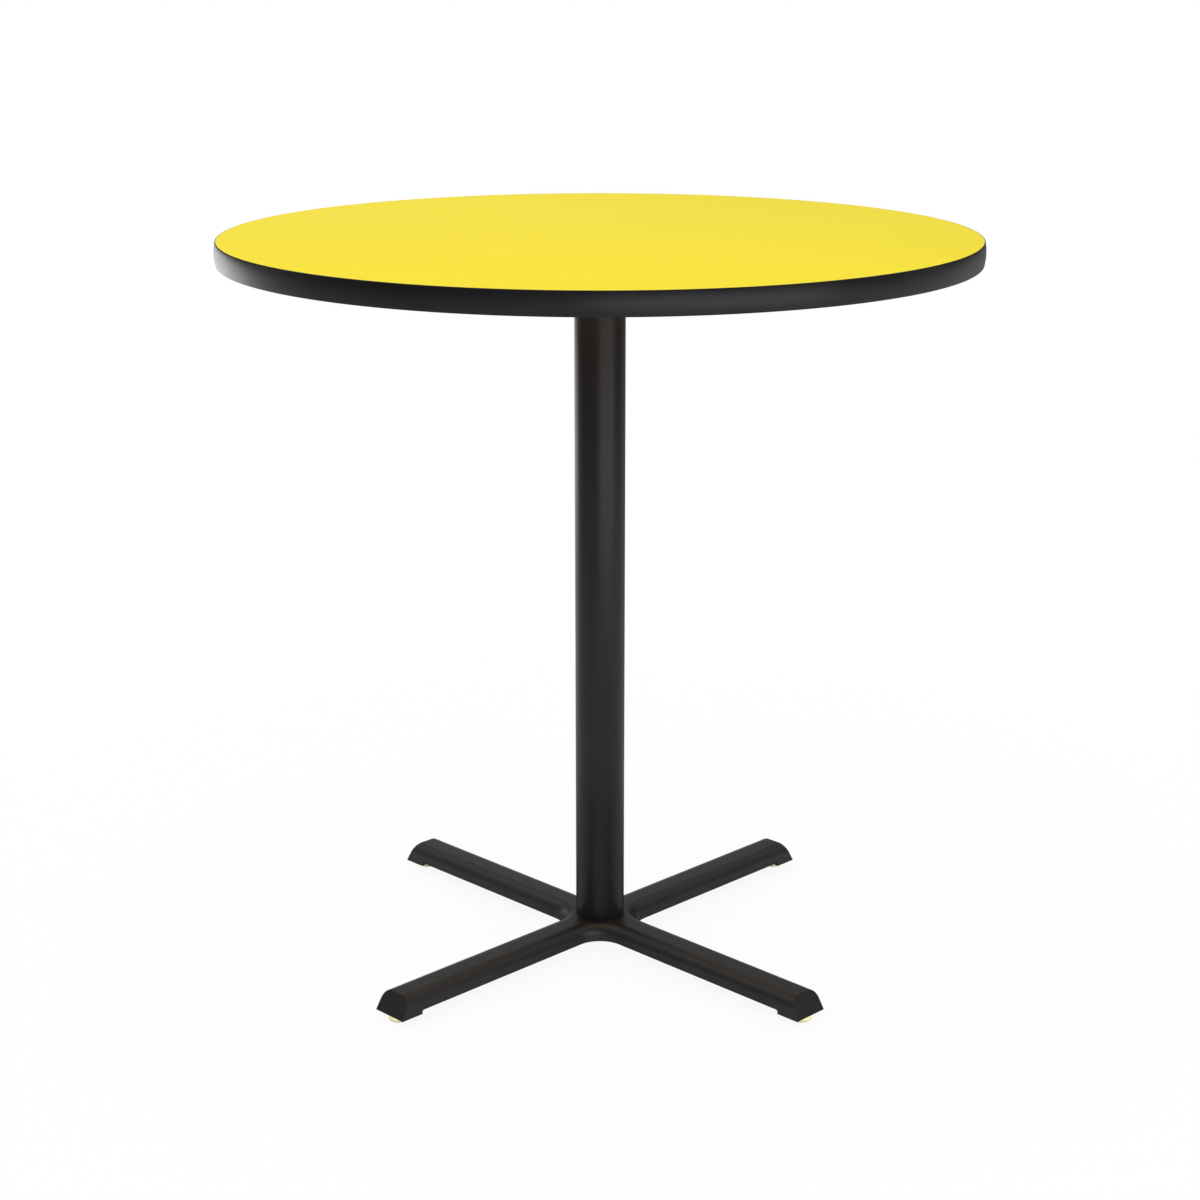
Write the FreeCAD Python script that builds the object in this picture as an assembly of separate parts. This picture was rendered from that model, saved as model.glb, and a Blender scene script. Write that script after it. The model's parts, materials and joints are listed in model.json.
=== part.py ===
import FreeCAD, Part
import math
import os

from FreeCAD import Vector

# Bar-height round pedestal table: laminate top with a moulded edge band, steel column, cast cross base and
# levelling glides. Millimetres, +Z up. The origin is on the floor under the column. The arms point at the
# four diagonals.

# Overall sizes
table_height = 1068.3
top_diameter = 1066.8
top_thickness = 31.75
column_diameter = 73.0
column_wall = 2.5
base_reach = 422.8  # column axis to the toe of an arm, along the arm
arm_angle_deg = 45.0  # first arm, from +X
arm_count = 4
cut_overrun = 5.0  # how far cutting tools pass the faces that they cut

# Table top
laminate_thickness = 1.0
backer_thickness = 0.75
band_crown = 3.0  # how far the edge band stands out from the core
band_face_radius = 70.0  # gentle round of the band's face, top to bottom
band_corner_radius = 1.2
band_seam_gap = 0.3  # butt joint of the band, at the back
tongue_length = 11.0
tongue_thickness = 2.0
barb_height = 0.4
barb_count = 3
barb_length = 3.0
groove_clearance = 0.1
groove_extra_depth = 1.5

# Cast cross base
casting_height = 31.0
casting_wall = 6.0
arm_width = 58.2  # over the bottom of the foot
side_draft_deg = 4.5
shoulder_radius = 17.0
crotch_radius = 40.0  # plan radius between two arms, at the bottom
toe_draft_deg = 29.0
toe_edge_radius = 0.6
foot_length = 38.0
foot_step = 5.6  # how far the foot reaches below the skirt of the arm
foot_step_radius = 3.0
glide_setback = 18.3  # glide to the toe
foot_skin = 6.5  # metal left above the glide's hole
hub_boss_radius = 24.0
hub_boss_height = 3.0
arm_rib_thickness = 5.0
arm_rib_depth = 9.0
hub_overlap_share = 0.8  # share of the arm's flat crown by which the corner pieces pass its centre line
hub_fill_share = 0.95  # share of the distance from the axis to the crown's edge that the round hub fills

# Column seats, alike on the base and the spider
spigot_length = 10.0
spigot_wall = 5.0
spigot_clearance = 0.15

# Spider, the cast cross under the top
spider_reach = 230.0
spider_plate = 6.0
spider_root_width = 46.0
spider_tip_width = 30.0
spider_rib_thickness = 7.0
spider_hub_rim = 9.0  # hub outside the column
spider_cup_wall = 7.0
spider_floor = 7.0
cup_headroom = 4.0  # free height above the end of the tie rod

# Screws that hold the spider to the top
screw_length = 25.0
screw_diameter = 5.5
screw_root_diameter = 4.1
screw_pitch = 2.2
screw_plain_length = 6.5
screw_tip_length = 3.5
screw_head_diameter = 11.0
screw_head_height = 3.4
screw_crown_height = 1.6  # domed part of the head
recess_length = 6.0
recess_width = 1.3
recess_depth = 1.7
screw_hole_clearance = 0.5
pilot_clearance = 0.05
inner_screw_radius = 140.0
screw_edge_margin = 18.0  # outer screw to the tip of the arm

# Tie rod with its nuts and washers
rod_diameter = 12.0
rod_pitch = 1.75
rod_thread_depth = 1.05
rod_thread_length = 34.0
rod_standout = 3.5  # rod end past the nut
rod_hole_clearance = 0.6
nut_bore_clearance = 0.08
nut_width = 18.0  # across flats
nut_height = 10.0
nut_chamfer_deg = 30.0
washer_diameter = 37.0
washer_thickness = 2.5
washer_hole_clearance = 0.5
lock_washer_diameter = 21.0
lock_washer_thickness = 2.6
lock_washer_split = 1.6
lock_washer_slant_deg = 20.0

# Levelling glides
pad_diameter = 29.0
pad_top_diameter = 24.0
pad_height = 7.5
pad_flank_radius = 3.2
pad_floor = 3.0  # under the stem's flange
stem_diameter = 8.0
stem_pitch = 1.25
stem_thread_depth = 0.7
stem_neck_diameter = 6.0
stem_flange_diameter = 12.0
stem_flange_thickness = 1.8
stem_collar_width = 13.0  # across flats
stem_collar_height = 2.4
stem_tip_chamfer = 0.8
swivel_clearance = 0.3
collar_gap = 0.3  # between the pad and the collar
glide_rest_gap = 0.5  # between the collar and the foot when screwed right in
stem_hole_clearance = 0.35
stem_end_gap = 1.0

# Places that follow from the sizes
top_radius = top_diameter / 2
core_radius = top_radius - band_crown
top_underside = table_height - top_thickness
top_middle = table_height - top_thickness / 2
core_top = table_height - laminate_thickness
core_bottom = top_underside + backer_thickness

foot_bottom = pad_height + collar_gap + stem_collar_height + glide_rest_gap
casting_top = foot_bottom + casting_height
skirt_bottom = foot_bottom + foot_step
cavity_top = casting_top - casting_wall
foot_inner_end = base_reach - foot_length
glide_radius = base_reach - glide_setback
crotch_axis = arm_width / 2 + crotch_radius

column_radius = column_diameter / 2
column_bore_radius = column_radius - column_wall
spigot_radius = column_bore_radius - spigot_clearance

rod_radius = rod_diameter / 2
rod_hole_radius = rod_radius + rod_hole_clearance
stack_height = washer_thickness + lock_washer_thickness + nut_height
cup_depth = stack_height + rod_standout + cup_headroom
spider_seat = top_underside - cup_depth  # top of the hub's floor
column_top = spider_seat - spider_floor
spider_hub_radius = column_radius + spider_hub_rim
lower_seat = cavity_top - hub_boss_height  # bottom of the boss in the base

Z_AXIS = Vector(0, 0, 1)
ORIGIN = Vector(0, 0, 0)


def closed_wire(start, *moves):
    # Each move is the end of a straight edge, or a pair of points that an arc passes through and ends at.
    edges = []
    here = start
    for move in moves:
        if isinstance(move, tuple):
            through, end = move
            edges.append(Part.Arc(here, through, end).toShape())
        else:
            end = move
            edges.append(Part.LineSegment(here, end).toShape())
        here = end
    edges.append(Part.LineSegment(here, start).toShape())
    return Part.Wire(edges)


def rz(radius, height):
    # A point of a turned outline.
    return Vector(radius, 0, height)


def turned(start, *moves):
    return Part.Face(closed_wire(start, *moves)).revolve(ORIGIN, Z_AXIS, 360)


def drum(radius, low, high, centre=ORIGIN):
    return Part.makeCylinder(radius, high - low, Vector(centre.x, centre.y, low))


def ring(outer, inner, low, high):
    return drum(outer, low, high).cut(drum(inner, low - cut_overrun, high + cut_overrun))


def block(low_corner, high_corner):
    size = high_corner - low_corner
    return Part.makeBox(size.x, size.y, size.z, low_corner)


def joined(shapes):
    return shapes[0].fuse(shapes[1:]).removeSplitter()


def turned_about_axis(shape, degrees):
    copy = shape.copy()
    copy.rotate(ORIGIN, Z_AXIS, degrees)
    return copy


def place_on_arm(radius, index):
    angle = math.radians(arm_angle_deg + index * 360 / arm_count)
    return Vector(radius * math.cos(angle), radius * math.sin(angle), 0)


def thread_points(crest, root, pitch, low, high):
    # Crest and root points of a thread outline, from low to high, as parallel grooves.
    count = int((high - low) / pitch)
    points = []
    for i in range(count):
        bottom = low + i * pitch
        points += [rz(crest, bottom), rz(root, bottom + pitch / 2)]
    return points + [rz(crest, low + count * pitch)]


def hexagon(width, low, high):
    corner = width / math.sqrt(3)
    points = [Vector(corner * math.cos(math.radians(a)), corner * math.sin(math.radians(a)), low)
              for a in range(0, 360, 60)]
    return Part.Face(Part.makePolygon(points + [points[0]])).extrude(Vector(0, 0, high - low))


def chamfered_hexagon(width, low, high):
    # The corners are turned off at both faces, down to the flats.
    corner = width / math.sqrt(3)
    fall = (corner - width / 2) * math.tan(math.radians(nut_chamfer_deg))
    barrel = turned(rz(0, low), rz(width / 2, low), rz(corner, low + fall), rz(corner, high - fall),
                    rz(width / 2, high), rz(0, high))
    return hexagon(width, low, high).common(barrel)


# Table top


def screw_places():
    radii = (inner_screw_radius, spider_reach - screw_edge_margin)
    return [place_on_arm(radius, i) for i in range(arm_count) for radius in radii]


def with_screw_holes(shape, radius, low, high):
    tools = [drum(radius, low - cut_overrun, high + cut_overrun, place) for place in screw_places()]
    return shape.cut(tools)


def laminate_sheet():
    return drum(core_radius, core_top, table_height)


def backer_sheet():
    sheet = drum(core_radius, top_underside, core_bottom)
    return with_screw_holes(sheet, screw_diameter / 2 + pilot_clearance, top_underside, core_bottom)


def core_disc():
    groove_half = tongue_thickness / 2 + barb_height + groove_clearance
    groove_floor = core_radius - tongue_length - groove_extra_depth
    disc = drum(core_radius, core_bottom, core_top)
    groove_low = top_middle - groove_half
    groove_high = top_middle + groove_half
    disc = disc.cut(ring(core_radius + cut_overrun, groove_floor, groove_low, groove_high))
    pilot_top = top_underside - spider_plate + screw_length + pilot_clearance
    tools = [drum(screw_diameter / 2 + pilot_clearance, core_bottom - cut_overrun, pilot_top, place)
             for place in screw_places()]
    return disc.cut(tools)


def barbs(side):
    # Saw teeth along one face of the tongue, from the band inwards. They lean back against a pull.
    face = top_middle + side * tongue_thickness / 2
    tip = face + side * barb_height
    inner_end = core_radius - tongue_length
    points = [rz(inner_end + barb_count * barb_length, face)]
    for i in reversed(range(barb_count)):
        inner = inner_end + i * barb_length
        points += [rz(inner + barb_length, tip), rz(inner, face)]
    return points


def edge_band():
    # the face and the two small corner rounds meet tangentially
    face_centre = top_radius - band_face_radius
    rise = top_thickness / 2 - band_corner_radius
    lean = math.asin(rise / (band_face_radius - band_corner_radius))
    rim = face_centre + (band_face_radius - band_corner_radius) * math.cos(lean)
    bend = (lean + math.pi / 2) / 2

    def on_face(side):
        return rz(face_centre + band_face_radius * math.cos(lean),
                  top_middle + side * band_face_radius * math.sin(lean))

    def on_corner(side):
        return rz(rim + band_corner_radius * math.cos(bend),
                  top_middle + side * (rise + band_corner_radius * math.sin(bend)))

    outline = closed_wire(
        rz(core_radius, top_underside),
        rz(rim, top_underside),
        (on_corner(-1), on_face(-1)),
        (rz(top_radius, top_middle), on_face(1)),
        (on_corner(1), rz(rim, table_height)),
        rz(core_radius, table_height),
        rz(core_radius, top_middle + tongue_thickness / 2),
        *barbs(1),
        *reversed(barbs(-1)),
        rz(core_radius, top_middle - tongue_thickness / 2),
    )
    seam_deg = math.degrees(band_seam_gap / top_radius)
    outline.rotate(ORIGIN, Z_AXIS, 90 + seam_deg / 2)
    return Part.Face(outline).revolve(ORIGIN, Z_AXIS, 360 - seam_deg)


# Cast cross base, worked out with an arm along +X and turned to the diagonals at the end


def crown_outline(inset, low):
    # Half of an arm's section: foot, side tangent, shoulder middle and crown edge, each across and up.
    draft = math.radians(side_draft_deg)
    crown = casting_top - inset
    radius = shoulder_radius - inset

    def half_width(height):
        return arm_width / 2 - (height - foot_bottom) * math.tan(draft) - inset / math.cos(draft)

    tangent = radius * math.tan((math.pi / 2 - draft) / 2)
    centre_across = half_width(crown) - tangent
    middle = (math.pi / 2 + draft) / 2

    def on_shoulder(angle):
        return centre_across + radius * math.cos(angle), crown - radius + radius * math.sin(angle)

    return (half_width(low), low), on_shoulder(draft), on_shoulder(middle), (centre_across, crown)


def cross_solid(inset, low, arm_end):
    # The arms and their filleted corners, all sides set in by the given wall.
    foot, side, shoulder, crown = crown_outline(inset, low)

    def at(x, point, sign=1):
        return Vector(x, sign * point[0], point[1])

    start = crotch_axis
    section = closed_wire(
        at(start, foot, -1), at(start, foot), at(start, side), (at(start, shoulder), at(start, crown)),
        at(start, crown, -1), (at(start, shoulder, -1), at(start, side, -1)))
    arm = Part.Face(section).extrude(Vector(arm_end - start, 0, 0))

    inner = -crown[0] * hub_overlap_share
    corner_section = closed_wire(
        Vector(start, inner, low), at(start, foot), at(start, side),
        (at(start, shoulder), at(start, crown)), Vector(start, inner, crown[1]))
    corner = Part.Face(corner_section).revolve(Vector(start, start, 0), -Z_AXIS, 90)

    crown_edge = math.hypot(start, start) - (start - crown[0])
    hub = drum(crown_edge * hub_fill_share, low, crown[1])
    return arm, corner, hub


def trimmed_arm(arm):
    # The toe leans back from its bottom edge, and its edges are eased.
    lean = math.tan(math.radians(toe_draft_deg))
    low = foot_bottom - cut_overrun
    high = casting_top + cut_overrun
    past = base_reach + casting_height
    outline = closed_wire(
        Vector(base_reach + cut_overrun * lean, -arm_width, low), Vector(past, -arm_width, low),
        Vector(past, -arm_width, high), Vector(base_reach - (high - foot_bottom) * lean, -arm_width, high))
    cutter = Part.Face(outline).extrude(Vector(0, 2 * arm_width, 0))
    toed = arm.cut(cutter)
    normal = Vector(math.cos(math.radians(toe_draft_deg)), 0, math.sin(math.radians(toe_draft_deg)))
    toe = max(toed.Faces, key=lambda face: face.normalAt(0, 0).dot(normal))
    return toed.makeFillet(toe_edge_radius, toe.Edges)


def all_round(shape):
    return [turned_about_axis(shape, i * 360 / arm_count) for i in range(arm_count)]


def base_casting():
    arm, corner, hub = cross_solid(0, foot_bottom, base_reach + cut_overrun)
    body = joined(all_round(trimmed_arm(arm)) + all_round(corner) + [hub])

    # the skirt stands clear of the floor between the feet
    reach = foot_inner_end
    low = foot_bottom - cut_overrun
    skirt = block(Vector(-reach, -reach, low), Vector(reach, reach, skirt_bottom))
    rims = [edge for edge in skirt.Edges if edge.BoundBox.ZMin > low + foot_step]
    body = body.cut(skirt.makeFillet(foot_step_radius, rims))

    # hollow underside, open downwards, with a rib under each arm and a boss for the tie rod
    cavity_end = foot_inner_end - casting_wall
    arm, corner, hub = cross_solid(casting_wall, low, cavity_end)
    body = body.cut(joined(all_round(arm) + all_round(corner) + [hub]))
    half = arm_rib_thickness / 2
    rib = block(Vector(hub_boss_radius / 2, -half, cavity_top - arm_rib_depth),
                Vector(cavity_end + half, half, cavity_top + casting_wall / 2))
    boss = drum(hub_boss_radius, lower_seat, cavity_top + casting_wall / 2)
    clear_of_nut = drum(hub_boss_radius, low, lower_seat)
    ribs = [part.cut(clear_of_nut) for part in all_round(rib)]
    seat_low = casting_top - casting_wall / 2
    seat = ring(spigot_radius, spigot_radius - spigot_wall, seat_low, casting_top + spigot_length)
    body = joined([body, boss, seat] + ribs)

    holes = [drum(rod_hole_radius, low, casting_top + cut_overrun)]
    stem_hole_top = casting_top - foot_skin
    for i in range(arm_count):
        angle = math.radians(i * 360 / arm_count)
        place = Vector(glide_radius * math.cos(angle), glide_radius * math.sin(angle), 0)
        holes.append(drum(stem_diameter / 2 + stem_hole_clearance, low, stem_hole_top, place))
    return turned_about_axis(body.cut(holes), arm_angle_deg)


# Column and spider


def column_tube():
    return ring(column_radius, column_bore_radius, casting_top, column_top)


def spider():
    plate_bottom = top_underside - spider_plate
    inner = spider_hub_radius - spider_cup_wall
    spigot_inner = spigot_radius - spigot_wall
    spigot_end = column_top - spigot_length
    hub = turned(
        rz(rod_hole_radius, column_top), rz(spigot_inner, column_top), rz(spigot_inner, spigot_end),
        rz(spigot_radius, spigot_end), rz(spigot_radius, column_top), rz(spider_hub_radius, column_top),
        rz(spider_hub_radius, top_underside), rz(inner, top_underside), rz(inner, spider_seat),
        rz(rod_hole_radius, spider_seat))

    root = (inner + spider_hub_radius) / 2
    tip = spider_tip_width / 2
    outline = closed_wire(
        Vector(root, -spider_root_width / 2, plate_bottom), Vector(spider_reach - tip, -tip, plate_bottom),
        (Vector(spider_reach, 0, plate_bottom), Vector(spider_reach - tip, tip, plate_bottom)),
        Vector(root, spider_root_width / 2, plate_bottom))
    plate = Part.Face(outline).extrude(Vector(0, 0, spider_plate))
    half = spider_rib_thickness / 2
    rib_end = inner_screw_radius - screw_edge_margin
    web = closed_wire(
        Vector(root, -half, column_top), Vector(spider_hub_radius, -half, column_top),
        Vector(rib_end, -half, plate_bottom), Vector(root, -half, plate_bottom))
    rib = Part.Face(web).extrude(Vector(0, spider_rib_thickness, 0))
    arms = [turned_about_axis(part, arm_angle_deg + i * 360 / arm_count)
            for part in (plate, rib) for i in range(arm_count)]
    cup = drum(inner, spider_seat, top_underside + cut_overrun)
    body = joined([hub] + [arm.cut(cup) for arm in arms])
    return with_screw_holes(body, screw_diameter / 2 + screw_hole_clearance, plate_bottom, top_underside)


# Fasteners


def spider_screw():
    # Pan head below the spider's arm, shank up into the core.
    seat = top_underside - spider_plate
    head = screw_head_diameter / 2
    crest = screw_diameter / 2
    root = screw_root_diameter / 2
    tip = seat + screw_length
    rim = seat - screw_head_height + screw_crown_height
    crown = seat - screw_head_height
    thread = thread_points(crest, root, screw_pitch, seat + screw_plain_length, tip - screw_tip_length)
    # the crown is an arc that meets the axis squarely
    fall = screw_crown_height
    sphere = (head * head + fall * fall) / (2 * fall)
    middle = math.asin(head / sphere) / 2
    through = rz(sphere * math.sin(middle), crown + sphere - sphere * math.cos(middle))
    screw = turned(rz(0, crown), (through, rz(head, rim)), rz(head, seat), rz(crest, seat), *thread,
                   rz(root, tip - screw_tip_length + screw_pitch / 2), rz(0, tip))
    half_length = recess_length / 2
    half_width = recess_width / 2
    slot = block(Vector(-half_length, -half_width, crown - cut_overrun),
                 Vector(half_length, half_width, crown + recess_depth))
    return screw.cut([slot, turned_about_axis(slot, 90)])


def spider_screws():
    screws = []
    for place in screw_places():
        screw = spider_screw()
        screw.translate(place)
        screws.append(screw)
    return Part.makeCompound(screws)


def flat_washer(low):
    return ring(washer_diameter / 2, rod_radius + washer_hole_clearance, low, low + washer_thickness)


def lock_washer(low):
    # Square-section ring with a slanting split.
    high = low + lock_washer_thickness
    washer = ring(lock_washer_diameter / 2, rod_radius + washer_hole_clearance, low, high)
    slot = block(Vector(0, -lock_washer_split / 2, low - cut_overrun),
                 Vector(lock_washer_diameter, lock_washer_split / 2, high + cut_overrun))
    slot.rotate(Vector(0, 0, (low + high) / 2), Vector(1, 0, 0), lock_washer_slant_deg)
    return washer.cut(slot)


def hex_nut(low):
    bore = drum(rod_radius + nut_bore_clearance, low - cut_overrun, low + nut_height + cut_overrun)
    return chamfered_hexagon(nut_width, low, low + nut_height).cut(bore)


def tie_rod():
    low = lower_seat - stack_height - rod_standout
    high = spider_seat + stack_height + rod_standout
    root = rod_radius - rod_thread_depth
    chamfer = rod_pitch / 2
    lower = thread_points(rod_radius, root, rod_pitch, low + chamfer, low + rod_thread_length)
    upper = thread_points(rod_radius, root, rod_pitch, high - rod_thread_length, high - chamfer)
    return turned(rz(0, low), rz(root, low), *lower, *upper, rz(root, high), rz(0, high))


# Levelling glides


def glide_pad():
    # Nylon foot with a rounded flank, hollow for the stem's flange.
    waist = pad_diameter / 2
    sole = waist - pad_flank_radius
    bend = math.radians(45)
    flank_rise = pad_flank_radius - pad_flank_radius * math.cos(bend)
    flank = rz(sole + pad_flank_radius * math.sin(bend), flank_rise)
    cavity = stem_flange_diameter / 2 + swivel_clearance
    ceiling = pad_floor + stem_flange_thickness + collar_gap
    neck = stem_neck_diameter / 2 + swivel_clearance
    return turned(rz(0, 0), rz(sole, 0), (flank, rz(waist, pad_flank_radius)),
                  rz(pad_top_diameter / 2, pad_height), rz(neck, pad_height), rz(neck, ceiling),
                  rz(cavity, ceiling), rz(cavity, pad_floor), rz(0, pad_floor))


def glide_stem():
    # Threaded stem with a hexagonal collar to turn it by, and a flange that the pad holds.
    flange_top = pad_floor + stem_flange_thickness
    collar_bottom = pad_height + collar_gap
    collar_top = collar_bottom + stem_collar_height
    tip = casting_top - foot_skin - stem_end_gap
    crest = stem_diameter / 2
    root = crest - stem_thread_depth
    thread = thread_points(crest, root, stem_pitch, collar_top, tip - stem_tip_chamfer)
    shank = turned(
        rz(0, pad_floor), rz(stem_flange_diameter / 2, pad_floor), rz(stem_flange_diameter / 2, flange_top),
        rz(stem_neck_diameter / 2, flange_top), rz(stem_neck_diameter / 2, collar_bottom),
        rz(crest, collar_bottom), *thread, rz(root, tip), rz(0, tip))
    return joined([shank, chamfered_hexagon(stem_collar_width, collar_bottom, collar_top)])


def glides():
    # Named by where they stand, seen from the front, which is -Y.
    names = ("back_right", "back_left", "front_left", "front_right")
    made = {}
    for i, name in enumerate(names):
        place = place_on_arm(glide_radius, i)
        for piece, shape in (("glide_pad", glide_pad()), ("glide_stem", glide_stem())):
            shape.translate(place)
            made[f"{piece}_{name}"] = shape
    return made


def pieces():
    lower_nut_seat = lower_seat - stack_height
    upper_lock_seat = spider_seat + washer_thickness
    made = {
        "laminate_sheet": laminate_sheet(),
        "core_disc": core_disc(),
        "backer_sheet": backer_sheet(),
        "edge_band": edge_band(),
        "spider": spider(),
        "spider_screws": spider_screws(),
        "column_tube": column_tube(),
        "tie_rod": tie_rod(),
        "upper_washer": flat_washer(spider_seat),
        "upper_lock_washer": lock_washer(upper_lock_seat),
        "upper_nut": hex_nut(upper_lock_seat + lock_washer_thickness),
        "lower_washer": flat_washer(lower_seat - washer_thickness),
        "lower_lock_washer": lock_washer(lower_nut_seat + nut_height),
        "lower_nut": hex_nut(lower_nut_seat),
        "base_casting": base_casting(),
    }
    made.update(glides())
    return made


os.makedirs("parts", exist_ok=True)
for node, shape in pieces().items():
    bounds = shape.BoundBox
    print(f"{node}: {len(shape.Solids)} solid(s), valid {shape.isValid()}, {shape.Volume / 1000:.1f} cm3, "
          f"z {bounds.ZMin:.2f} to {bounds.ZMax:.2f}")
    shape.exportStep(f"parts/{node}.step")
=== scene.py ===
import json
import math
import bmesh
import bpy
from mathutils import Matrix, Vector


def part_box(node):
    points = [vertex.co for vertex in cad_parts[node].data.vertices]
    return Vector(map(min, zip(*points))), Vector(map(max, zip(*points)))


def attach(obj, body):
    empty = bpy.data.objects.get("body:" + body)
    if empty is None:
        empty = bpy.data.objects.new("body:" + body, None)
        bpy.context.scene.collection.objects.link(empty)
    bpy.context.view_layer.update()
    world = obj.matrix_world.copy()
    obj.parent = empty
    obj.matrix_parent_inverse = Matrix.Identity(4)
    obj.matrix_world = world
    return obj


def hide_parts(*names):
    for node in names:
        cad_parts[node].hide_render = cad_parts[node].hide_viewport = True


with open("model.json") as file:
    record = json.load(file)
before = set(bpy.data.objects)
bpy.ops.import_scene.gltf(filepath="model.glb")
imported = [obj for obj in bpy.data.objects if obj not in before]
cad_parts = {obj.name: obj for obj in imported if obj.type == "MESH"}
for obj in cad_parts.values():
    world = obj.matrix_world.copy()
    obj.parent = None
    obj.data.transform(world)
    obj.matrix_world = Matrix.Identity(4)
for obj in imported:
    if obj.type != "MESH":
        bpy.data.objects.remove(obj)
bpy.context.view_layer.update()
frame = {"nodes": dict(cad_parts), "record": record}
nodes = frame["nodes"]
print("frame loaded:", len(nodes), "CAD nodes")


# modelling helpers

touching = 1e-6  # points closer than this are one point, in metres
nearby = 1e-5  # looser, for a place that was worked out
cutReach = 1e-7  # a bisect moves points closer than this onto its plane
facingUp = 0.9  # least rise of the normal of a face that looks up


def clearSelection():
    if bpy.context.object and bpy.context.object.mode != "OBJECT":
        bpy.ops.object.mode_set(mode="OBJECT")
    bpy.ops.object.select_all(action="DESELECT")


def startPiece(name, addPrimitive, **settings):
    clearSelection()
    addPrimitive(**settings)
    piece = bpy.context.object
    piece.name = name
    piece.data.name = name
    bpy.ops.object.transform_apply(location=True, rotation=True, scale=True)
    bpy.ops.object.mode_set(mode="EDIT")
    bpy.ops.mesh.select_all(action="DESELECT")
    return piece


def pick(kind, wanted):  # wanted tests a vertex's place, an edge's two ends, or a face's middle and normal
    bpy.ops.mesh.select_mode(type={"verts": "VERT", "edges": "EDGE", "faces": "FACE"}[kind])
    bpy.ops.mesh.select_all(action="DESELECT")
    mesh = bmesh.from_edit_mesh(bpy.context.edit_object.data)
    for element in getattr(mesh, kind):
        if kind == "verts":
            hit = wanted(element.co)
        elif kind == "edges":
            hit = wanted(element.verts[0].co, element.verts[1].co)
        else:
            hit = wanted(element.calc_center_median(), element.normal)
        if hit:
            element.select_set(True)
    mesh.select_flush_mode()
    bmesh.update_edit_mesh(bpy.context.edit_object.data)


def addModifier(piece, kind, **settings):
    bpy.ops.object.mode_set(mode="OBJECT")
    modifier = piece.modifiers.new(kind.lower(), kind)
    for key, value in settings.items():
        setattr(modifier, key, value)
    bpy.ops.object.modifier_apply(modifier=modifier.name)
    bpy.ops.object.mode_set(mode="EDIT")


def endPiece(smoothAngle):
    bpy.ops.mesh.select_all(action="SELECT")
    bpy.ops.mesh.remove_doubles(threshold=touching)
    bpy.ops.mesh.normals_make_consistent(inside=False)
    bpy.ops.object.mode_set(mode="OBJECT")
    bpy.ops.object.shade_smooth_by_angle(angle=math.radians(smoothAngle))


# shader helpers


class Wire:  # a value socket that takes part in Python sums
    def __init__(self, shade, socket):
        self.shade = shade
        self.socket = socket

    def sum(self, operation, first, second):
        return self.shade.add("ShaderNodeMath", {"operation": operation}, [first, second])

    def __add__(self, other):
        return self.sum("ADD", self, other)

    def __radd__(self, other):
        return self.sum("ADD", other, self)

    def __sub__(self, other):
        return self.sum("SUBTRACT", self, other)

    def __rsub__(self, other):
        return self.sum("SUBTRACT", other, self)

    def __mul__(self, other):
        return self.sum("MULTIPLY", self, other)

    def __rmul__(self, other):
        return self.sum("MULTIPLY", other, self)


class Shade:  # the nodes of one material, or of the world
    def __init__(self, name, world=False):
        self.material = bpy.data.worlds.new(name) if world else bpy.data.materials.new(name)
        self.material.use_nodes = True
        self.tree = self.material.node_tree
        self.tree.nodes.clear()
        self.output = self.tree.nodes.new("ShaderNodeOutputWorld" if world else "ShaderNodeOutputMaterial")

    def add(self, kind, settings=None, inputs=None, out=0):
        node = self.tree.nodes.new(kind)
        for key, value in (settings or {}).items():
            setattr(node, key, value)
        pairs = inputs.items() if isinstance(inputs, dict) else enumerate(inputs or [])
        for key, value in pairs:
            if isinstance(value, Wire):
                self.tree.links.new(value.socket, node.inputs[key])
            else:
                node.inputs[key].default_value = value
        return Wire(self, node.outputs[out])

    def place(self, scale=(1, 1, 1)):
        coords = self.add("ShaderNodeTexCoord", out="Object")
        return self.add("ShaderNodeMapping", inputs={"Vector": coords, "Scale": scale})

    def noise(self, vector, scale, detail=2.0, roughness=0.5):
        return self.add("ShaderNodeTexNoise", inputs={
            "Vector": vector, "Scale": scale, "Detail": detail, "Roughness": roughness})

    def between(self, value, ends, toLow=0.0, toHigh=1.0):
        return self.add("ShaderNodeMapRange", {"clamp": True}, {
            "Value": value, "From Min": ends[0], "From Max": ends[1], "To Min": toLow, "To Max": toHigh})

    def mix(self, factor, first, second):  # by number: a Mix node has its sockets once for each kind of data
        return self.add("ShaderNodeMix", {"data_type": "RGBA"}, {0: factor, 6: first, 7: second}, out=2)

    def blend(self, factor, first, second):  # of two shaders
        return self.add("ShaderNodeMixShader", inputs=[factor, first, second])

    def bump(self, height, strength, distance):
        return self.add("ShaderNodeBump", inputs={"Height": height, "Strength": strength, "Distance": distance})

    def axes(self, vector):
        split = self.add("ShaderNodeSeparateXYZ", inputs=[vector]).socket.node
        return [Wire(self, socket) for socket in split.outputs]

    def angle(self, first, second):
        return self.add("ShaderNodeMath", {"operation": "ARCTAN2"}, [first, second])

    def seen(self):  # 1 where the camera, a reflection or clear material looks, 0 for soft light
        path = self.add("ShaderNodeLightPath").socket.node.outputs
        return [Wire(self, path[name]) for name in ("Is Camera Ray", "Is Glossy Ray", "Is Transmission Ray")]

    def surface(self, wire):
        self.tree.links.new(wire.socket, self.output.inputs["Surface"])
        return self.material

    def finish(self, **inputs):
        sockets = {key.replace("_", " "): value for key, value in inputs.items()}
        return self.surface(self.add("ShaderNodeBsdfPrincipled", inputs=sockets))


def weigh(wires, shares):  # wires added up, each by its share
    total = wires[0] * shares[0]
    for wire, share in zip(wires[1:], shares[1:]):
        total = total + wire * share
    return total


def paint(piece, material):
    piece.data.materials.clear()
    piece.data.materials.append(material)


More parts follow.
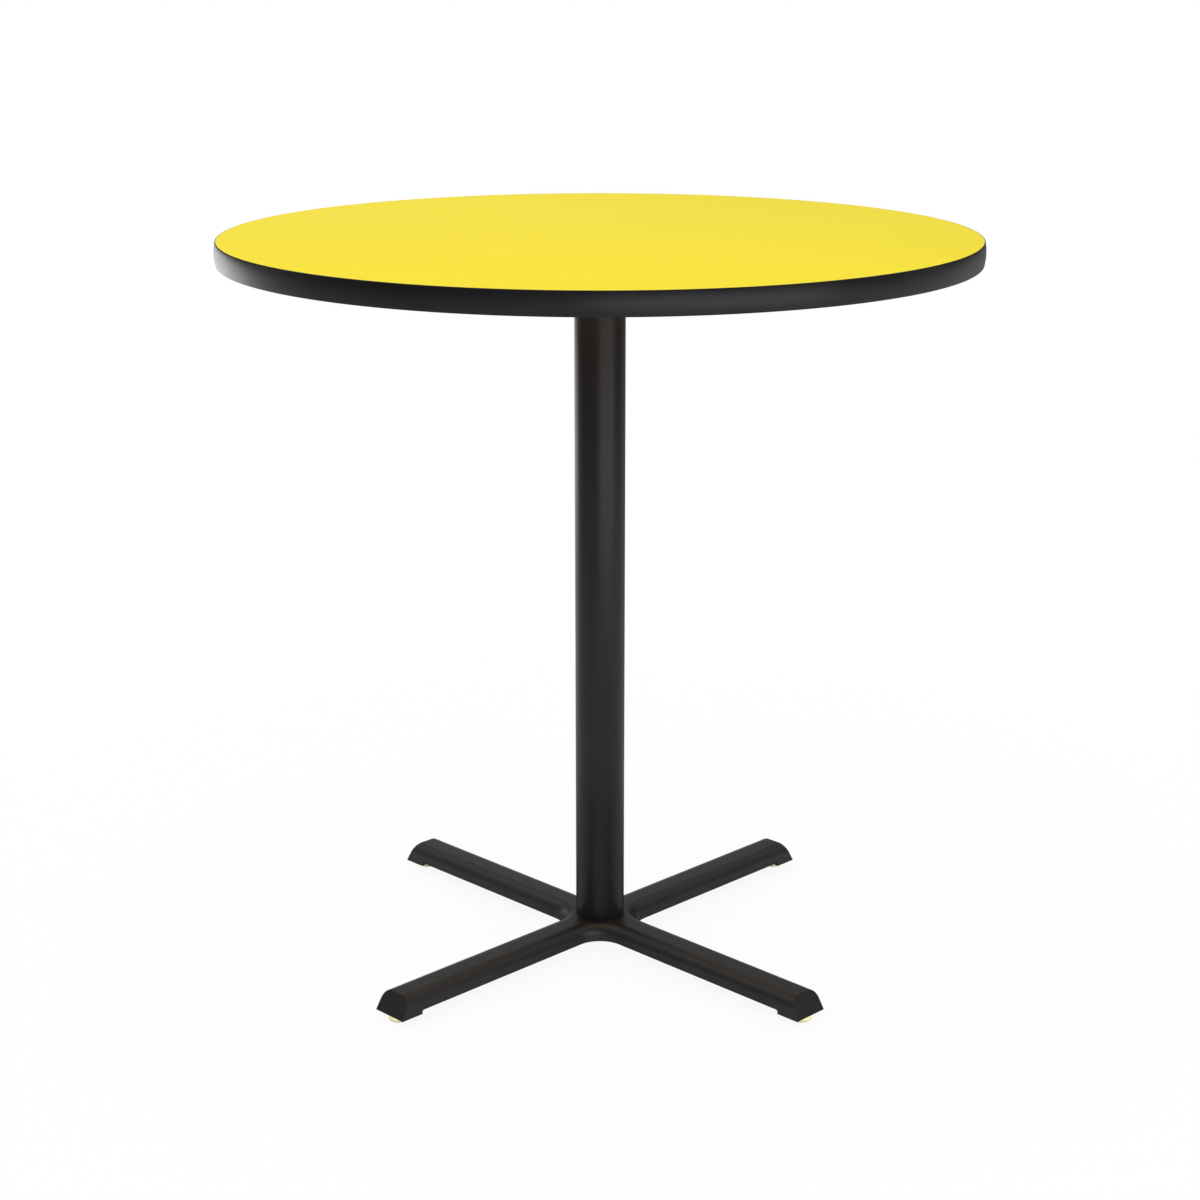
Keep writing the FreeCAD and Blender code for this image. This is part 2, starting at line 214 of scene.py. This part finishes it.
# finishes: a noise is given by its scale per metre, its detail and its roughness, a bump by its strength
# and its depth in metres, and roughness runs between two values

noiseEnds = (0.3, 0.7)  # noise seldom goes past these


def yellowLaminate():
    look = {"colour": (0.905, 0.735, 0.026, 1), "paler": (0.93, 0.765, 0.04, 1), "gloss": 0.1,
            "cloud": (5.0, 3.0), "speck": (900.0, 2.0), "suede": (1600.0, 3.0, 0.6),
            "toneShares": (0.3, 0.7), "toneEnds": (0.35, 0.65),
            "roughShares": (0.5, 0.5), "roughness": (0.66, 0.75), "bump": (0.25, 0.0002)}
    shade = Shade("yellowLaminate")
    place = shade.place()
    cloud = shade.noise(place, *look["cloud"])
    speck = shade.noise(place, *look["speck"])
    suede = shade.noise(place, *look["suede"])  # fine pressed texture of the sheet
    tone = shade.between(weigh((cloud, speck), look["toneShares"]), look["toneEnds"])
    colour = shade.mix(tone, look["colour"], look["paler"])
    rough = shade.between(weigh((cloud, suede), look["roughShares"]), noiseEnds, *look["roughness"])
    normal = shade.bump(suede, *look["bump"])
    return shade.finish(Base_Color=colour, Roughness=rough, Normal=normal, Specular_IOR_Level=look["gloss"])


def blackVinyl():
    look = {"colour": (0.0067, 0.0056, 0.0062, 1), "worn": (0.0105, 0.0092, 0.0098, 1), "gloss": 0.3,
            "linesAlong": 4.0, "linesUp": 900.0, "grain": (1400.0, 2.0), "cloud": (9.0, 3.0),
            "toneEnds": (0.4, 0.7), "roughShares": (0.5, 0.5), "roughness": (0.28, 0.39),
            "bumpShares": (0.6, 0.4), "bump": (0.2, 0.0002)}
    shade = Shade("blackVinyl")
    place = shade.place()
    across, along, up = shade.axes(place)
    # drawn lines run round the edge: the place is unrolled, per radian along it and per metre up
    unrolled = shade.add("ShaderNodeCombineXYZ", inputs=[
        shade.angle(along, across) * look["linesAlong"], 0.0, up * look["linesUp"]])
    lines = shade.noise(unrolled, 1.0)
    grain = shade.noise(place, *look["grain"])
    cloud = shade.noise(place, *look["cloud"])
    colour = shade.mix(shade.between(cloud, look["toneEnds"]), look["colour"], look["worn"])
    rough = shade.between(weigh((lines, cloud), look["roughShares"]), noiseEnds, *look["roughness"])
    normal = shade.bump(weigh((lines, grain), look["bumpShares"]), *look["bump"])
    return shade.finish(Base_Color=colour, Roughness=rough, Normal=normal, Specular_IOR_Level=look["gloss"])


castingCoat = {"peel": (420.0, 2.0, 0.45), "fine": (1890.0, 2.0), "roughness": (0.35, 0.46), "gloss": 0.51}
tubeCoat = {"peel": (520.0, 2.0, 0.45), "fine": (2340.0, 2.0), "roughness": (0.28, 0.39), "gloss": 0.31}


def blackPowderCoat(name, coat):
    look = {"colour": (0.0062, 0.0049, 0.0058, 1), "paler": (0.0094, 0.0078, 0.009, 1), "cloud": (7.0, 3.0),
            "toneShares": (0.6, 0.4), "toneEnds": (0.38, 0.66), "roughShares": (0.4, 0.6),
            "bumpShares": (0.75, 0.25), "bump": (0.12, 0.0006)}
    shade = Shade(name)
    place = shade.place()
    cloud = shade.noise(place, *look["cloud"])
    orangePeel = shade.noise(place, *coat["peel"])
    fine = shade.noise(place, *coat["fine"])
    tone = shade.between(weigh((cloud, fine), look["toneShares"]), look["toneEnds"])
    colour = shade.mix(tone, look["colour"], look["paler"])
    rough = shade.between(weigh((cloud, fine), look["roughShares"]), noiseEnds, *coat["roughness"])
    normal = shade.bump(weigh((orangePeel, fine), look["bumpShares"]), *look["bump"])
    return shade.finish(Base_Color=colour, Roughness=rough, Normal=normal, Specular_IOR_Level=coat["gloss"])


def glideNylon():
    look = {"colour": (0.9, 0.83, 0.36, 1), "paler": (0.93, 0.88, 0.5, 1), "cloud": (90.0, 3.0),
            "scuff": (1500.0, 3.0, 0.65), "toneEnds": (0.35, 0.65), "roughness": (0.36, 0.54), "bump": (0.2, 0.0002)}
    shade = Shade("glideNylon")
    place = shade.place()
    cloud = shade.noise(place, *look["cloud"])
    scuff = shade.noise(place, *look["scuff"])
    colour = shade.mix(shade.between(cloud, look["toneEnds"]), look["colour"], look["paler"])
    rough = shade.between(scuff, noiseEnds, *look["roughness"])
    normal = shade.bump(scuff, *look["bump"])
    return shade.finish(Base_Color=colour, Roughness=rough, Normal=normal)


def zincPlate():
    look = {"colour": (0.62, 0.62, 0.6, 1), "tinted": (0.56, 0.54, 0.46, 1), "cloud": (120.0, 4.0),
            "turnedScale": (1, 1, 30), "turned": (160.0, 2.0), "toneEnds": (0.4, 0.68),
            "roughShares": (0.5, 0.5), "roughness": (0.24, 0.44), "bump": (0.15, 0.0001)}
    shade = Shade("zincPlate")
    cloud = shade.noise(shade.place(), *look["cloud"])
    turned = shade.noise(shade.place(look["turnedScale"]), *look["turned"])  # marks of the lathe
    colour = shade.mix(shade.between(cloud, look["toneEnds"]), look["colour"], look["tinted"])
    rough = shade.between(weigh((cloud, turned), look["roughShares"]), noiseEnds, *look["roughness"])
    normal = shade.bump(turned, *look["bump"])
    return shade.finish(Base_Color=colour, Roughness=rough, Normal=normal, Metallic=1.0)


def chipBoard():
    look = {"light": (0.5, 0.36, 0.2, 1), "dark": (0.3, 0.19, 0.09, 1), "chips": 420.0, "dust": (900.0, 3.0),
            "toneShares": (0.7, 0.3), "roughness": (0.78, 0.92), "bumpShares": (0.6, 0.4), "bump": (0.35, 0.0005)}
    shade = Shade("chipBoard")
    place = shade.place()
    chips = shade.add("ShaderNodeTexVoronoi", {"feature": "F1"}, {
        "Vector": place, "Scale": look["chips"]}, out="Color")
    chipTone = shade.axes(chips)[0]
    dust = shade.noise(place, *look["dust"])
    colour = shade.mix(weigh((chipTone, dust), look["toneShares"]), look["dark"], look["light"])
    rough = shade.between(dust, noiseEnds, *look["roughness"])
    normal = shade.bump(weigh((chipTone, dust), look["bumpShares"]), *look["bump"])
    return shade.finish(Base_Color=colour, Roughness=rough, Normal=normal)


def kraftBacker():
    look = {"colour": (0.52, 0.395, 0.175, 1), "paler": (0.6, 0.47, 0.23, 1), "fleck": (0.3, 0.2, 0.08, 1),
            "cloud": (6.0, 4.0), "sandedScale": (1, 40, 1), "sanded": (30.0, 3.0), "fibre": (700.0, 3.0),
            "toneShares": (0.5, 0.3, 0.2), "toneEnds": (0.35, 0.65), "fleckEnds": (0.66, 0.74), "fleckMost": 0.6,
            "roughness": (0.55, 0.72), "bumpShares": (0.6, 0.4), "bump": (0.2, 0.0003)}
    shade = Shade("kraftBacker")
    place = shade.place()
    cloud = shade.noise(place, *look["cloud"])
    sanded = shade.noise(shade.place(look["sandedScale"]), *look["sanded"])  # long sanding scratches
    fibre = shade.noise(place, *look["fibre"])
    tone = shade.between(weigh((cloud, sanded, fibre), look["toneShares"]), look["toneEnds"])
    flecks = shade.between(fibre, look["fleckEnds"], 0.0, look["fleckMost"])
    colour = shade.mix(flecks, shade.mix(tone, look["colour"], look["paler"]), look["fleck"])
    rough = shade.between(sanded, noiseEnds, *look["roughness"])
    normal = shade.bump(weigh((sanded, fibre), look["bumpShares"]), *look["bump"])
    return shade.finish(Base_Color=colour, Roughness=rough, Normal=normal)


finishes = {
    "laminate": yellowLaminate(),
    "vinyl_edge": blackVinyl(),
    "painted_casting": blackPowderCoat("castingCoat", castingCoat),
    "painted_tube": blackPowderCoat("tubeCoat", tubeCoat),
    "glide_nylon": glideNylon(),
    "plated_steel": zincPlate(),
    "particleboard": chipBoard(),
    "backer": kraftBacker(),
}
slotOf = {part["node"]: part["material_slot"] for part in frame["record"]["subparts"]}
for name, node in nodes.items():
    paint(node, finishes[slotOf[name]])
print("finishes ready:", len(finishes))


def standsFor(piece, node, body="table"):
    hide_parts(node)
    paint(piece, finishes[slotOf[node]])
    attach(piece, body)


# laminate sheet

sheet = {"radius": 0.5304, "sides": 320, "edgeEase": 0.00015, "easeSteps": 2, "smooth": 30}


def makeLaminate():
    low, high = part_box("laminate_sheet")
    middle = (low.z + high.z) / 2
    piece = startPiece(
        "laminateTop", bpy.ops.mesh.primitive_cylinder_add, vertices=sheet["sides"], radius=sheet["radius"],
        depth=high.z - low.z, end_fill_type="NGON", location=(0, 0, middle))
    pick("edges", lambda a, b: a.z > middle and b.z > middle)
    bpy.ops.mesh.bevel(offset=sheet["edgeEase"], segments=sheet["easeSteps"])
    endPiece(sheet["smooth"])
    standsFor(piece, "laminate_sheet")


makeLaminate()
print("laminate made")


# edge band, pressed on round the sheet and the core under it

band = {"outer": 0.5334, "faceRadius": 0.07, "faceCuts": 15, "cornerCut": 0.00095, "cornerSteps": 5, "steps": 320,
        "seam": 0.0003, "tongueLength": 0.011, "tongueHalf": 0.001, "smooth": 40}


def makeBand():
    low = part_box("backer_sheet")[0].z
    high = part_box("laminate_sheet")[1].z
    middle = (low + high) / 2
    half = (high - low) / 2
    core, outer = sheet["radius"], band["outer"]
    seamTurn = band["seam"] / outer
    # the section stands upright at the back, beside the butt joint
    piece = startPiece(
        "edgeBand", bpy.ops.mesh.primitive_plane_add, size=2 * half, location=(0, outer - half, middle),
        rotation=(0, math.pi / 2, 0))
    pick("verts", lambda co: co.y < outer - half)
    bpy.ops.transform.translate(value=(0, 2 * half - (outer - core), 0))
    pick("edges", lambda a, b: abs(a.y - outer) < touching and abs(b.y - outer) < touching)
    bpy.ops.mesh.subdivide(number_cuts=band["faceCuts"])
    for i in range(band["faceCuts"] + 2):  # bow the face
        height = -half + 2 * half * i / (band["faceCuts"] + 1)
        fall = band["faceRadius"] - math.sqrt(band["faceRadius"] ** 2 - height ** 2)
        pick("verts", lambda co: abs(co.z - middle - height) < nearby and abs(co.y - outer) < touching)
        bpy.ops.transform.translate(value=(0, -fall, 0))
    pick("verts", lambda co: co.y > core + touching and abs(co.z - middle) > half - touching)
    bpy.ops.mesh.bevel(offset=band["cornerCut"], segments=band["cornerSteps"], affect="VERTICES")
    # tongue that holds the band in the core's groove, from the middle third of the back
    pick("edges", lambda a, b: abs(a.y - core) < touching and abs(b.y - core) < touching)
    bpy.ops.mesh.subdivide(number_cuts=2)
    for side in (1, -1):
        pick("verts", lambda co: abs(co.y - core) < touching and 0 < side * (co.z - middle) < half - nearby)
        bpy.ops.transform.translate(value=(0, 0, side * (band["tongueHalf"] - half / 3)))
    pick("edges", lambda a, b: max(abs(a.z - middle), abs(b.z - middle)) < band["tongueHalf"] + nearby)
    bpy.ops.mesh.extrude_edges_move(TRANSFORM_OT_translate={"value": (0, -band["tongueLength"], 0)})
    bpy.ops.mesh.select_all(action="SELECT")
    bpy.ops.transform.rotate(value=seamTurn / 2, orient_axis="Z", center_override=(0, 0, 0))
    bpy.ops.mesh.spin(steps=band["steps"], angle=2 * math.pi - seamTurn, center=(0, 0, 0), axis=(0, 0, 1))
    endPiece(band["smooth"])
    standsFor(piece, "edge_band")


makeBand()
print("edge band made")


# column

column = {"sides": 160, "wall": 0.0025, "ease": 0.0003, "easeSteps": 2, "smooth": 40}


def makeColumn():
    low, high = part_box("column_tube")
    piece = startPiece(
        "columnTube", bpy.ops.mesh.primitive_cylinder_add, vertices=column["sides"], radius=high.x,
        depth=high.z - low.z, end_fill_type="NOTHING", location=(0, 0, (low.z + high.z) / 2))
    bpy.ops.mesh.select_all(action="SELECT")
    bpy.ops.mesh.normals_make_consistent(inside=False)
    addModifier(piece, "SOLIDIFY", thickness=column["wall"], offset=-1)
    # rims of the tube's ends, outside and inside
    pick("edges", lambda a, b: abs(a.z - b.z) < touching and abs(a.xy.length - b.xy.length) < touching)
    bpy.ops.mesh.bevel(offset=column["ease"], segments=column["easeSteps"])
    endPiece(column["smooth"])
    standsFor(piece, "column_tube")


makeColumn()
print("column made")


# levelling glides

corners = ("back_right", "back_left", "front_left", "front_right")
pad = {"sides": 72, "waist": 0.0145, "flank": 0.0032, "flankRound": 0.999, "flankSteps": 8, "top": 0.012,
       "topEase": 0.0005, "topSteps": 3, "neck": 0.0033, "ceiling": 0.0051, "cavity": 0.0063, "floor": 0.003,
       "smooth": 40}


def makePad():
    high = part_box("glide_pad_front_left")[1].z
    piece = startPiece(
        "glidePad", bpy.ops.mesh.primitive_cylinder_add, vertices=pad["sides"], radius=pad["waist"], depth=high,
        end_fill_type="NGON", location=(0, 0, high / 2))
    # waist line, then the cone above it
    bpy.ops.mesh.select_all(action="SELECT")
    bpy.ops.mesh.bisect(plane_co=(0, 0, pad["flank"]), plane_no=(0, 0, 1))
    taper = pad["top"] / pad["waist"]
    pick("verts", lambda co: co.z > high - touching)
    bpy.ops.transform.resize(value=(taper, taper, 1), center_override=(0, 0, high))
    pick("edges", lambda a, b: a.z < touching and b.z < touching)
    bpy.ops.mesh.bevel(offset=pad["flank"] * pad["flankRound"], segments=pad["flankSteps"])
    pick("edges", lambda a, b: a.z > high - touching and b.z > high - touching)
    bpy.ops.mesh.bevel(offset=pad["topEase"], segments=pad["topSteps"])
    # neck hole and the hollow that holds the stem's flange
    pick("faces", lambda centre, normal: (
        normal.z > facingUp and centre.z > high - nearby and centre.xy.length < nearby))
    bpy.ops.mesh.inset(thickness=pad["top"] - pad["topEase"] - pad["neck"])
    for drop, radius, before in ((high - pad["ceiling"], pad["neck"], pad["neck"]),
                                 (0, pad["cavity"], pad["neck"]),
                                 (pad["ceiling"] - pad["floor"], pad["cavity"], pad["cavity"])):
        bpy.ops.mesh.extrude_region_move(TRANSFORM_OT_translate={"value": (0, 0, -drop)})
        bpy.ops.transform.resize(value=(radius / before, radius / before, 1), center_override=(0, 0, 0))
    endPiece(pad["smooth"])
    return piece


stem = {"sides": 48, "flange": 0.006, "flangeTop": 0.0048, "flangeEase": 0.0002, "neck": 0.003, "easeSteps": 2,
        "smooth": 40}
collar = {"low": 0.0078, "high": 0.0102, "flats": 0.013, "cornerEase": 0.0007, "cornerSteps": 4, "edgeEase": 0.0003,
          "edgeSteps": 2, "smooth": 30}
thread = {"radius": 0.004, "root": 0.0033, "pitch": 0.00125, "tip": 0.0342, "sunk": 0.0002, "steps": 28,
          "outlineCuts": 7, "crest": 1.15, "slope": 2.6, "turnsBefore": 1.5, "turnsMore": 3, "smooth": 30}


def makeShank():  # flange and the neck above it
    low, high = pad["floor"], stem["flangeTop"]
    piece = startPiece(
        "glideStem", bpy.ops.mesh.primitive_cylinder_add, vertices=stem["sides"], radius=stem["flange"],
        depth=high - low, end_fill_type="NGON", location=(0, 0, (high + low) / 2))
    pick("edges", lambda a, b: abs(a.z - b.z) < touching)
    bpy.ops.mesh.bevel(offset=stem["flangeEase"], segments=stem["easeSteps"])
    pick("faces", lambda centre, normal: normal.z > facingUp and centre.xy.length < nearby)
    bpy.ops.mesh.inset(thickness=stem["flange"] - stem["flangeEase"] - stem["neck"])
    bpy.ops.mesh.extrude_region_move(TRANSFORM_OT_translate={"value": (0, 0, collar["low"] - high)})
    endPiece(stem["smooth"])
    return piece


def makeCollar():  # hexagon with its corners turned off
    tall = collar["high"] - collar["low"]
    piece = startPiece(
        "stemCollar", bpy.ops.mesh.primitive_cylinder_add, vertices=6, radius=collar["flats"] / math.sqrt(3),
        depth=tall, end_fill_type="NGON", location=(0, 0, collar["low"] + tall / 2), rotation=(0, 0, math.pi / 6))
    pick("edges", lambda a, b: abs(a.z - b.z) > tall / 2)
    bpy.ops.mesh.bevel(offset=collar["cornerEase"], segments=collar["cornerSteps"])
    pick("edges", lambda a, b: abs(a.z - b.z) < touching)
    bpy.ops.mesh.bevel(offset=collar["edgeEase"], segments=collar["edgeSteps"])
    endPiece(collar["smooth"])
    return piece


def makeThread():  # rolled thread, one pitch of its outline wound up by the screw modifier
    pitch, root = thread["pitch"], thread["root"]
    deep = thread["radius"] - root
    turns = int((thread["tip"] - collar["high"]) / pitch) + thread["turnsMore"]
    middle = collar["high"] - thread["turnsBefore"] * pitch + pitch / 2
    piece = startPiece(
        "stemThread", bpy.ops.mesh.primitive_plane_add, size=pitch, location=(root, 0, middle),
        rotation=(math.pi / 2, 0, 0))
    pick("verts", lambda co: co.x < root)
    bpy.ops.mesh.delete(type="VERT")
    pick("edges", lambda a, b: True)
    bpy.ops.mesh.subdivide(number_cuts=thread["outlineCuts"])
    spans = thread["outlineCuts"] + 1
    for i in range(spans + 1):  # rounded root, flat-topped crest
        height = (i - spans / 2) / spans * pitch
        lift = min(1, max(0, thread["crest"] - abs(height) / pitch * thread["slope"]))
        pick("verts", lambda co: abs(co.z - middle - height) < touching)
        bpy.ops.transform.translate(value=(deep * lift - pitch / 2, 0, 0))
    addModifier(piece, "SCREW", axis="Z", screw_offset=pitch, iterations=turns, steps=thread["steps"],
                render_steps=thread["steps"], use_merge_vertices=True)
    for end, outwards in ((collar["high"] - thread["sunk"], -1), (thread["tip"], 1)):  # cut flat
        bpy.ops.mesh.select_all(action="SELECT")
        bpy.ops.mesh.remove_doubles(threshold=touching)
        bpy.ops.mesh.bisect(plane_co=(0, 0, end), plane_no=(0, 0, outwards), use_fill=True, clear_outer=True,
                            threshold=cutReach)
    endPiece(thread["smooth"])
    return piece


def makeStem():
    piece, *added = makeShank(), makeCollar(), makeThread()
    clearSelection()
    for part in (*added, piece):
        part.select_set(True)
    bpy.context.view_layer.objects.active = piece
    bpy.ops.object.join()
    return piece


def setGlides():
    models = {"glide_pad": makePad(), "glide_stem": makeStem()}
    for kind, model in models.items():
        for corner in corners:
            node = kind + "_" + corner
            low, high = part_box(node)
            copy = model.copy()
            copy.data = model.data.copy()
            copy.name = copy.data.name = model.name + "_" + corner
            bpy.context.scene.collection.objects.link(copy)
            copy.location = ((low.x + high.x) / 2, (low.y + high.y) / 2, 0)
            clearSelection()
            copy.select_set(True)
            bpy.context.view_layer.objects.active = copy
            bpy.ops.object.transform_apply(location=True)
            standsFor(copy, node, node)
        bpy.data.objects.remove(model)


setGlides()
print("glides made")


# studio: a wedge is the four bearings, in radians from straight behind the table and growing to the right,
# where it starts, is full, starts to fade and ends


def wedge(shade, bearing, ends):
    return shade.between(bearing, ends[:2]) * shade.between(bearing, ends[2:], 1.0, 0.0)


def grey(level):
    return (level, level, level, 1)


studioFloor = {"size": 40.0, "height": -0.0002, "grey": 0.58, "white": 0.97,
               "shadowShare": 0.09, "shadowEnds": (0.5, 1.5), "leftWedge": (-1.42, -1.12, 0.08, 0.2),
               "rightWedge": (0.5, 1.0, 1.9, 2.3), "rightShare": 0.4,
               "rearDim": 0.35, "rearEnds": (0.3, 1.0), "nearDim": 0.2, "nearEnds": (0.35, 0.6)}


def makeFloor():
    clearSelection()
    bpy.ops.mesh.primitive_plane_add(size=studioFloor["size"], location=(0, 0, studioFloor["height"]))
    floor = bpy.context.object
    floor.name = "floor"
    shade = Shade("paleFloor")
    camera, glossy, through = shade.seen()
    place = shade.place()
    across, along = shade.axes(place)[:2]
    far = shade.add("ShaderNodeVectorMath", {"operation": "LENGTH"}, [place], out="Value")
    away = shade.between(far, studioFloor["shadowEnds"])
    bearing = shade.angle(across, along)
    # reflections see a painted white glow from the left round to the back, some to the right, and painted shade
    # behind the table and under it
    white = wedge(shade, bearing, studioFloor["leftWedge"])
    white = white + studioFloor["rightShare"] * wedge(shade, bearing, studioFloor["rightWedge"])
    mirrored = (glossy + through) * away * white
    rear = shade.between(along, studioFloor["rearEnds"], 0.0, studioFloor["rearDim"])
    near = shade.between(far, studioFloor["nearEnds"], studioFloor["nearDim"], 0.0)
    tone = shade.mix(camera, grey(studioFloor["grey"]), grey(studioFloor["white"]))
    dull = shade.add("ShaderNodeBsdfDiffuse", inputs={"Color": tone})
    # painted shade: a black floor that only reflections see, behind the table and under it
    paintedShade = shade.add("ShaderNodeBsdfDiffuse", inputs={"Color": grey(0)})
    glow = shade.add("ShaderNodeEmission", inputs={"Color": grey(1), "Strength": 1.0})
    solid = shade.blend(mirrored, shade.blend(glossy * (rear + near), dull, paintedShade), glow)
    # the camera looks through to the white behind, apart from a share that keeps the shadow
    below = shade.add("ShaderNodeNewGeometry", out="Backfacing")
    clear = below + (1 - below) * camera * (1 - studioFloor["shadowShare"] * (1 - away))
    glass = shade.add("ShaderNodeBsdfTransparent")
    paint(floor, shade.surface(shade.blend(clear, solid, glass)))


# levels of the room in reflections, between ends of how far a direction points back or up
studioRoom = {"fill": 0.8, "front": 0.05, "back": 0.5, "backEnds": (0.1, 0.5),
              "sides": 0.55, "sidesUp": (0.3, 0.55), "sidesStart": (-0.6, -0.25), "sidesStop": (0.25, 0.6),
              "behind": 0.08, "behindEnds": (0.2, 0.6), "behindUp": (0.4, 0.7),
              "wallWedge": (-0.37, -0.17, 0.08, 0.2), "wallUp": (0.18, 0.36)}


def makeWorld():
    shade = Shade("studioWorld", world=True)
    camera, glossy, through = shade.seen()
    across, along, up = shade.axes(shade.add("ShaderNodeTexCoord", out="Generated"))
    room = shade.between(along, studioRoom["backEnds"], studioRoom["front"], studioRoom["back"])
    sides = shade.between(up, studioRoom["sidesUp"], 0.0, studioRoom["sides"])
    sides = sides * shade.between(along, studioRoom["sidesStart"])
    sides = sides * shade.between(along, studioRoom["sidesStop"], 1.0, 0.0)
    room = room + (1 - room) * sides
    behind = shade.between(along, studioRoom["behindEnds"]) * shade.between(up, studioRoom["behindUp"], 1.0, 0.0)
    room = room + (studioRoom["behind"] - room) * behind
    wall = wedge(shade, shade.angle(across, along), studioRoom["wallWedge"])
    wall = wall * shade.between(up, studioRoom["wallUp"], 1.0, 0.0)
    mirrored = room + (1 - room) * wall  # white wall behind the table, dimmer room
    level = camera + (1 - camera) * ((glossy + through) * mirrored + (1 - glossy - through) * studioRoom["fill"])
    light = shade.add("ShaderNodeBackground", inputs={"Color": grey(1), "Strength": level})
    bpy.context.scene.world = shade.surface(light)


softBoxes = {
    "overhead": {"place": (-0.6, 0.1, 3.6), "target": (0, 0, 1.0), "size": (4.0, 4.0), "power": 31.0,
                 "mirrored": True},
    "leftBack": {"place": (-2.25, 2.25, 0.45), "target": (-0.4, 0, 0.7), "size": (1.9, 0.9), "power": 7.4,
                 "mirrored": True},
    "rightFront": {"place": (1.8, -3.0, 0.75), "target": (0, 0, 0.75), "size": (4.7, 1.5), "power": 39.0,
                   "mirrored": True},
    "bounce": {"place": (0, 0, 0.001), "target": (0, 0, 1), "size": (2.6, 2.6), "power": 40.0, "mirrored": False},
}


def hangLamp(name, box):
    lamp = bpy.data.lights.new(name, "AREA")
    lamp.shape = "RECTANGLE"
    lamp.size, lamp.size_y = box["size"]
    lamp.energy = box["power"]
    holder = bpy.data.objects.new(name, lamp)
    bpy.context.scene.collection.objects.link(holder)
    holder.location = box["place"]
    holder.visible_camera = False
    holder.visible_glossy = box["mirrored"]
    holder.rotation_euler = (Vector(box["target"]) - Vector(box["place"])).to_track_quat("-Z", "Y").to_euler()


photoView = {"place": (0, -3.24393, 1.46851), "tilt": 0.32, "lens": 68.9, "sensor": 36.0, "shiftUp": 0.0776,
             "sightEnd": 100.0}


def makeCamera():
    data = bpy.data.cameras.new("photoCamera")
    data.lens = photoView["lens"]
    data.sensor_width = photoView["sensor"]
    data.shift_y = photoView["shiftUp"]
    data.clip_end = photoView["sightEnd"]
    camera = bpy.data.objects.new("photoCamera", data)
    bpy.context.scene.collection.objects.link(camera)
    camera.location = photoView["place"]
    camera.rotation_euler = (math.pi / 2 - photoView["tilt"], 0, 0)
    bpy.context.scene.camera = camera


makeFloor()
makeWorld()
for name, box in softBoxes.items():
    hangLamp(name, box)
makeCamera()
bpy.context.scene.view_settings.view_transform = "Standard"
print("studio ready")
